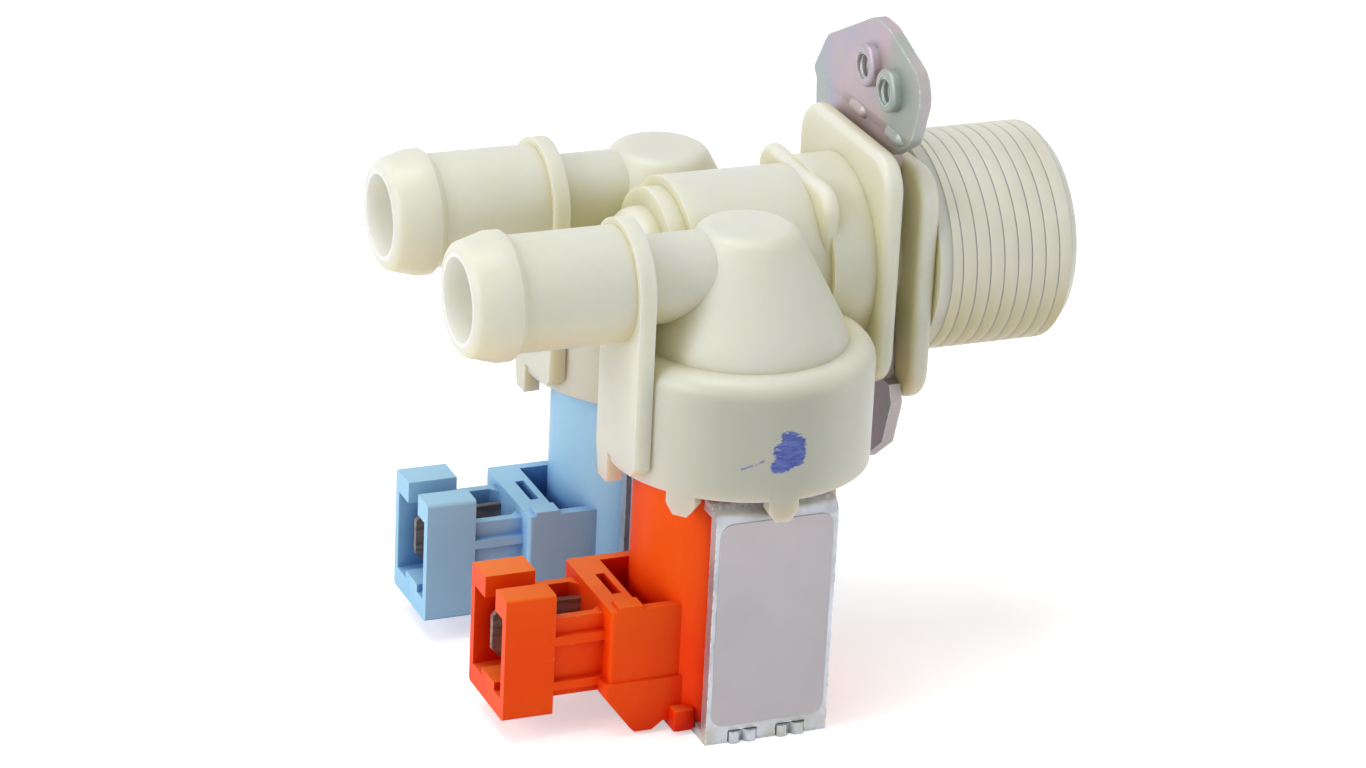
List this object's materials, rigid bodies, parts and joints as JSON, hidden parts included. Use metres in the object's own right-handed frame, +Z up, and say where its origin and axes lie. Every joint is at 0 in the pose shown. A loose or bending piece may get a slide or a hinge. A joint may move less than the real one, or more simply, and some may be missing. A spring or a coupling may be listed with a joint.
{
  "type": "water inlet valve",
  "caption": "Double solenoid water inlet valve with a threaded inlet, a steel bracket, an orange coil and a light blue coil.",
  "frame": {"origin": "on the inlet axis, at the shoulder where the inlet thread meets its flange", "axes": "+X along the inlet axis, out of the thread; +Z up, away from the coils; -Y towards the orange coil"},
  "size_m": [0.0792, 0.059, 0.0789],
  "materials": {
    "natural_nylon": "satin",
    "bracket_zinc": "satin",
    "strainer_plastic": "matte",
    "inner_plastic": "matte",
    "rubber": "matte",
    "label_film": "satin",
    "orange_coil": "satin",
    "blue_coil": "satin",
    "yoke_steel": "satin",
    "core_steel": "satin",
    "winding_copper": "gloss",
    "terminal_metal": "satin"
  },
  "bodies": {
    "valve": {"valve_body": "natural_nylon", "mounting_bracket": "bracket_zinc", "inlet_strainer": "strainer_plastic", "flow_regulator_holder": "inner_plastic", "flow_washer": "rubber", "yoke_label": "label_film", "front_coil_housing": "orange_coil", "front_yoke": "yoke_steel", "front_yoke_plate": "yoke_steel", "front_bobbin": "inner_plastic", "front_winding": "winding_copper", "front_upper_sleeve": "core_steel", "front_lower_sleeve": "core_steel", "front_bonnet": "inner_plastic", "front_diaphragm": "rubber", "front_armature_spring": "core_steel", "front_terminal_1": "terminal_metal", "front_terminal_2": "terminal_metal", "rear_coil_housing": "blue_coil", "rear_yoke": "yoke_steel", "rear_yoke_plate": "yoke_steel", "rear_bobbin": "inner_plastic", "rear_winding": "winding_copper", "rear_upper_sleeve": "core_steel", "rear_lower_sleeve": "core_steel", "rear_bonnet": "inner_plastic", "rear_diaphragm": "rubber", "rear_armature_spring": "core_steel", "rear_terminal_1": "terminal_metal", "rear_terminal_2": "terminal_metal"},
    "front_plunger": {"front_armature": "core_steel", "front_armature_seal": "rubber"},
    "front_main_seal": {"front_diaphragm_insert": "inner_plastic"},
    "rear_plunger": {"rear_armature": "core_steel", "rear_armature_seal": "rubber"},
    "rear_main_seal": {"rear_diaphragm_insert": "inner_plastic"}
  },
  "joints": [
    {"name": "front_armature_slide", "type": "slide", "parent": "valve", "child": "front_plunger", "axis": [0, 0, -1], "range_m": [0, 0.0022], "stiffness_N_per_m": 150, "springref_m": -0.008, "deforming": ["front_armature_spring"]},
    {"name": "front_diaphragm_slide", "type": "slide", "parent": "valve", "child": "front_main_seal", "axis": [0, 0, -1], "range_m": [0, 0.0013], "stiffness_N_per_m": 60, "springref_m": -0.005, "deforming": ["front_diaphragm"]},
    {"name": "rear_armature_slide", "type": "slide", "parent": "valve", "child": "rear_plunger", "axis": [0, 0, -1], "range_m": [0, 0.0022], "stiffness_N_per_m": 150, "springref_m": -0.008, "deforming": ["rear_armature_spring"]},
    {"name": "rear_diaphragm_slide", "type": "slide", "parent": "valve", "child": "rear_main_seal", "axis": [0, 0, -1], "range_m": [0, 0.0013], "stiffness_N_per_m": 60, "springref_m": -0.005, "deforming": ["rear_diaphragm"]}
  ],
  "couplings": [
    {"joint": "front_diaphragm_slide", "follows": "front_armature_slide", "ratio": 0.59},
    {"joint": "rear_diaphragm_slide", "follows": "rear_armature_slide", "ratio": 0.59}
  ]
}
